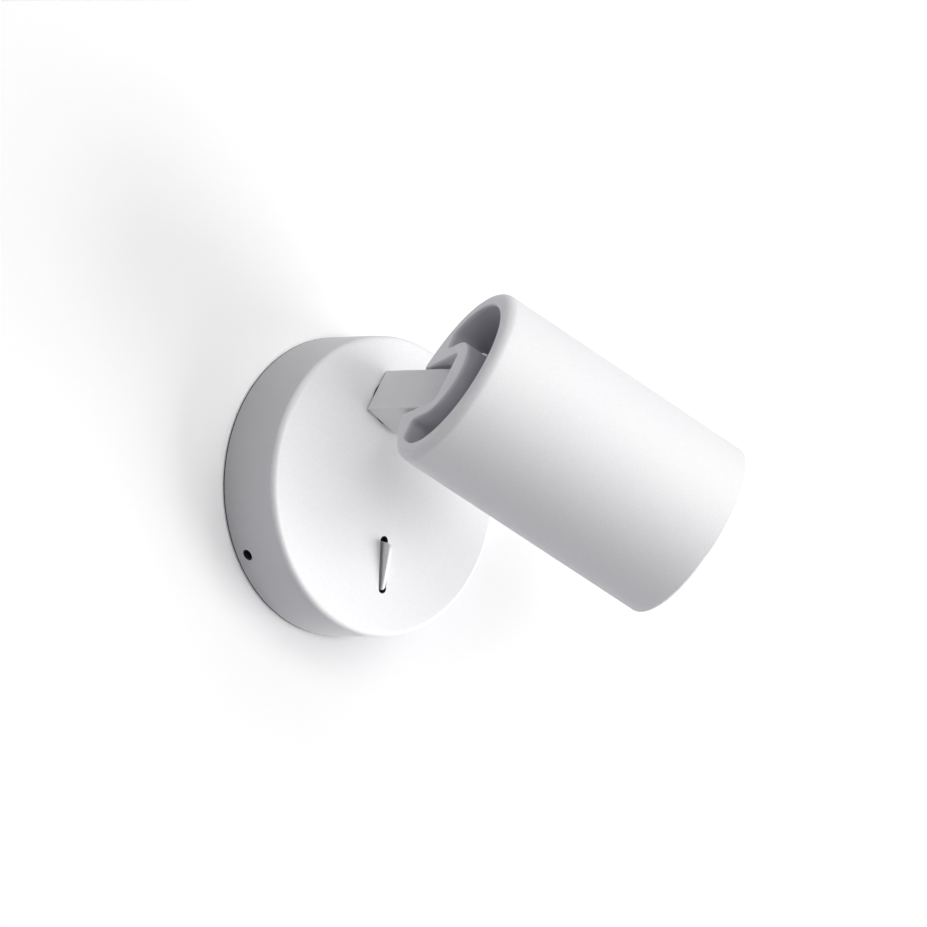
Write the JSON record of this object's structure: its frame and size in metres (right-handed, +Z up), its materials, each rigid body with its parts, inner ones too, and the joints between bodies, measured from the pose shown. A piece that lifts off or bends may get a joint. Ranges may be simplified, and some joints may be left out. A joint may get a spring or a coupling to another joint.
{
  "type": "wall spotlight",
  "caption": "Wall light with a round cover and flat-lever switch, a square arm that swivels on the cover, and a cylindrical lamp head that tilts on the arm.",
  "frame": {"origin": "centre of the round wall cover on the wall plane, which is the centre of the cable entry at the back face of the mounting plate", "axes": "+Z up, +Y into the wall along the cable entry, the room on the -Y side, +X to the right for someone facing the wall"},
  "size_m": [0.1471, 0.1442, 0.1238],
  "materials": {
    "white_steel": "matte",
    "white_aluminium": "matte",
    "zinc_steel": "satin",
    "black_steel": "satin",
    "brass": "satin",
    "white_plastic": "matte",
    "black_plastic": "matte",
    "black_rubber": "matte",
    "ceramic": "glossy",
    "lamp_shell": "satin",
    "lamp_glass": "satin",
    "led": "glossy"
  },
  "bodies": {
    "wall_base": {"wall_cover": "white_steel", "mounting_plate": "zinc_steel", "cover_grub_screws": "black_steel", "terminal_block": "white_plastic", "terminal_tubes": "brass", "terminal_screws": "zinc_steel", "terminal_block_screws": "zinc_steel", "earth_washer": "brass", "earth_screw": "brass", "cable_clamp": "white_plastic", "cable_clamp_screws": "zinc_steel", "switch_housing": "black_plastic", "switch_screws": "zinc_steel", "switch_blades": "brass", "swivel_bush": "black_plastic", "swivel_stop_pin": "zinc_steel", "swivel_outer_washer": "black_plastic"},
    "switch_lever": {"switch_lever": "white_plastic"},
    "arm": {"swivel_stem": "zinc_steel", "swivel_stop_disc": "zinc_steel", "swivel_spring_washer": "zinc_steel", "swivel_nut": "zinc_steel", "stem_sleeve": "black_plastic", "arm_bar": "white_aluminium", "tilt_screws": "zinc_steel", "tilt_spring_washers": "zinc_steel"},
    "head": {"tilt_bushes": "brass", "tilt_friction_washers": "black_plastic", "head_casing": "white_aluminium", "head_grommet": "black_rubber", "heat_shield": "zinc_steel", "lamp_holder_bracket": "zinc_steel", "bracket_screws": "zinc_steel", "lamp_holder": "ceramic", "lamp_holder_screws": "zinc_steel", "head_earth_screws": "brass", "lamp_pins": "zinc_steel", "lamp_body": "lamp_shell", "lamp_led": "led", "lamp_lens": "lamp_glass", "lamp_front_ring": "white_aluminium"}
  },
  "joints": [
    {"name": "arm_swivel", "type": "hinge", "parent": "wall_base", "child": "arm", "pos_m": [0, -0.0275, 0.0305], "axis": [0, -1, 0], "range_deg": [-224.2, 105.8]},
    {"name": "head_tilt", "type": "hinge", "parent": "arm", "child": "head", "pos_m": [0, -0.068, 0.0305], "axis": [0.512, 0, 0.859], "range_deg": [-70.2, 19.8]},
    {"name": "switch_rock", "type": "hinge", "parent": "wall_base", "child": "switch_lever", "pos_m": [0, -0.025, -0.0286], "axis": [-1, 0, 0], "range_deg": [0, 22.8]}
  ]
}
